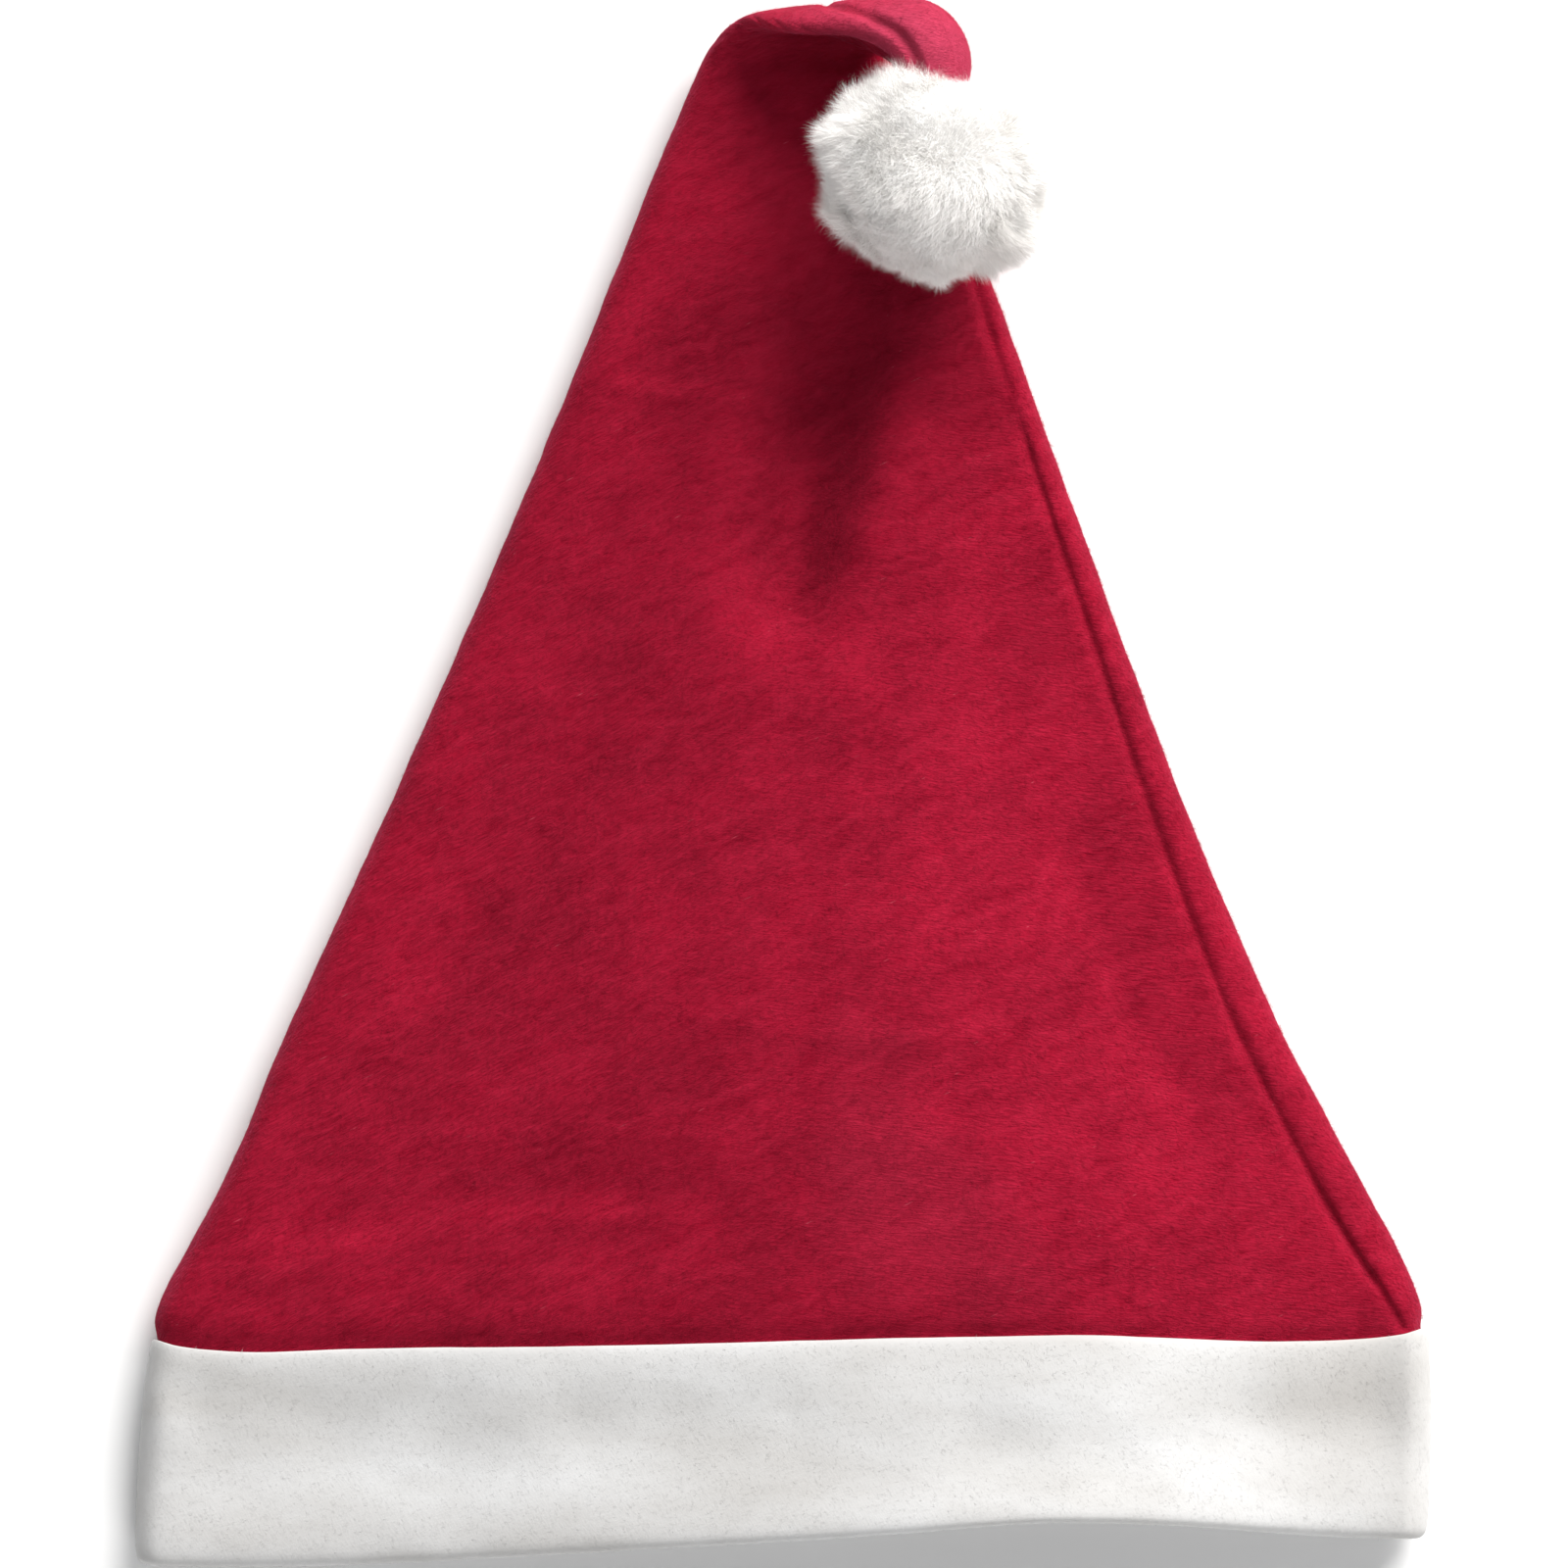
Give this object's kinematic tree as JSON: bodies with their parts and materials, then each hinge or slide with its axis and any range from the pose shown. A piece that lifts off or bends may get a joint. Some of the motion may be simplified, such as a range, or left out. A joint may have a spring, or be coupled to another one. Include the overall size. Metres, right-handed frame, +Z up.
{
  "type": "santa hat",
  "caption": "Plush Santa hat lying flat, with its tip folded to the front: a red cone of napped cloth, a folded white band and a fluffy pompom.",
  "frame": {"origin": "on the surface that the hat lies on, under the middle of its box", "axes": "+Z up, out of the hat's front layer; +Y from the rim to the fold at the top; +X to the right as the picture shows it"},
  "size_m": [0.2898, 0.3499, 0.0629],
  "materials": {
    "red_plush": "brushed napped plush, matt",
    "white_felt": "brushed felt, matt",
    "white_fur": "long soft fur"
  },
  "bodies": {
    "root": {"crown": "red_plush", "band": "white_felt", "pompom": "white_fur"}
  },
  "joints": []
}
